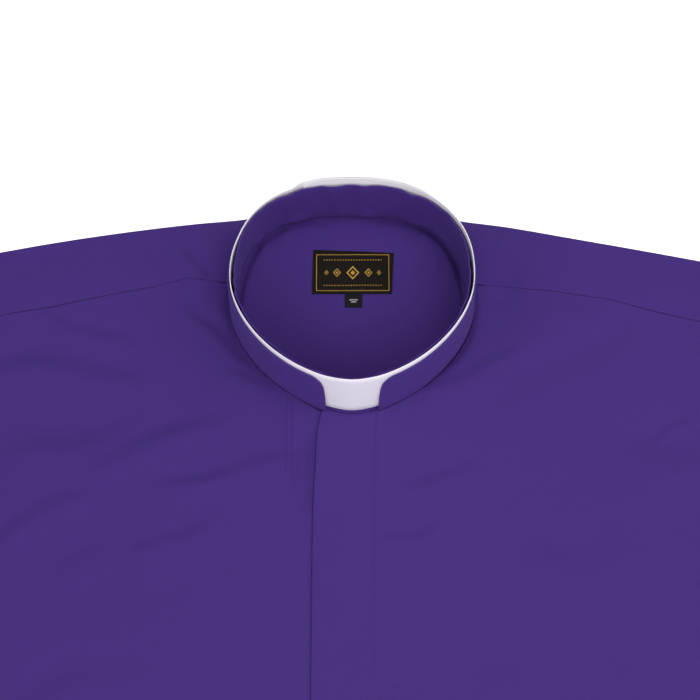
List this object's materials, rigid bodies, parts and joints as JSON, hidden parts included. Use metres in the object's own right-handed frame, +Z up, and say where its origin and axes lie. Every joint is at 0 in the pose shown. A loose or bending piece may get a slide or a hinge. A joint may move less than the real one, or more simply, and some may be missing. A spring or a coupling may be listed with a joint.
{
  "type": "clergy shirt",
  "caption": "Short-sleeved clergy shirt with a standing band collar, a white collar insert showing at the front and a covered placket, buttoned and laid flat on its back.",
  "frame": {"origin": "bottom centre of the whole shirt's box, on the surface that the shirt lies on", "axes": "+X to the wearer's left, +Y to the head, +Z up from the surface, out of the wearer's chest"},
  "size_m": [0.9418, 0.8002, 0.0627],
  "materials": {
    "purple_cloth": "plain-woven poly-cotton shirting, matt",
    "purple_band_cloth": "the same shirting, inside the collar",
    "white_insert": "smooth satin white plastic",
    "label_cloth": "fine woven black label"
  },
  "bodies": {
    "root": {"back": "purple_cloth", "yoke": "purple_cloth", "front_right": "purple_cloth", "front_left": "purple_cloth", "sleeve_right": "purple_cloth", "sleeve_left": "purple_cloth", "collar_outer": "purple_cloth", "collar_band": "purple_band_cloth", "collar_insert": "white_insert", "neck_label": "label_cloth", "size_tab": "label_cloth"}
  },
  "joints": []
}
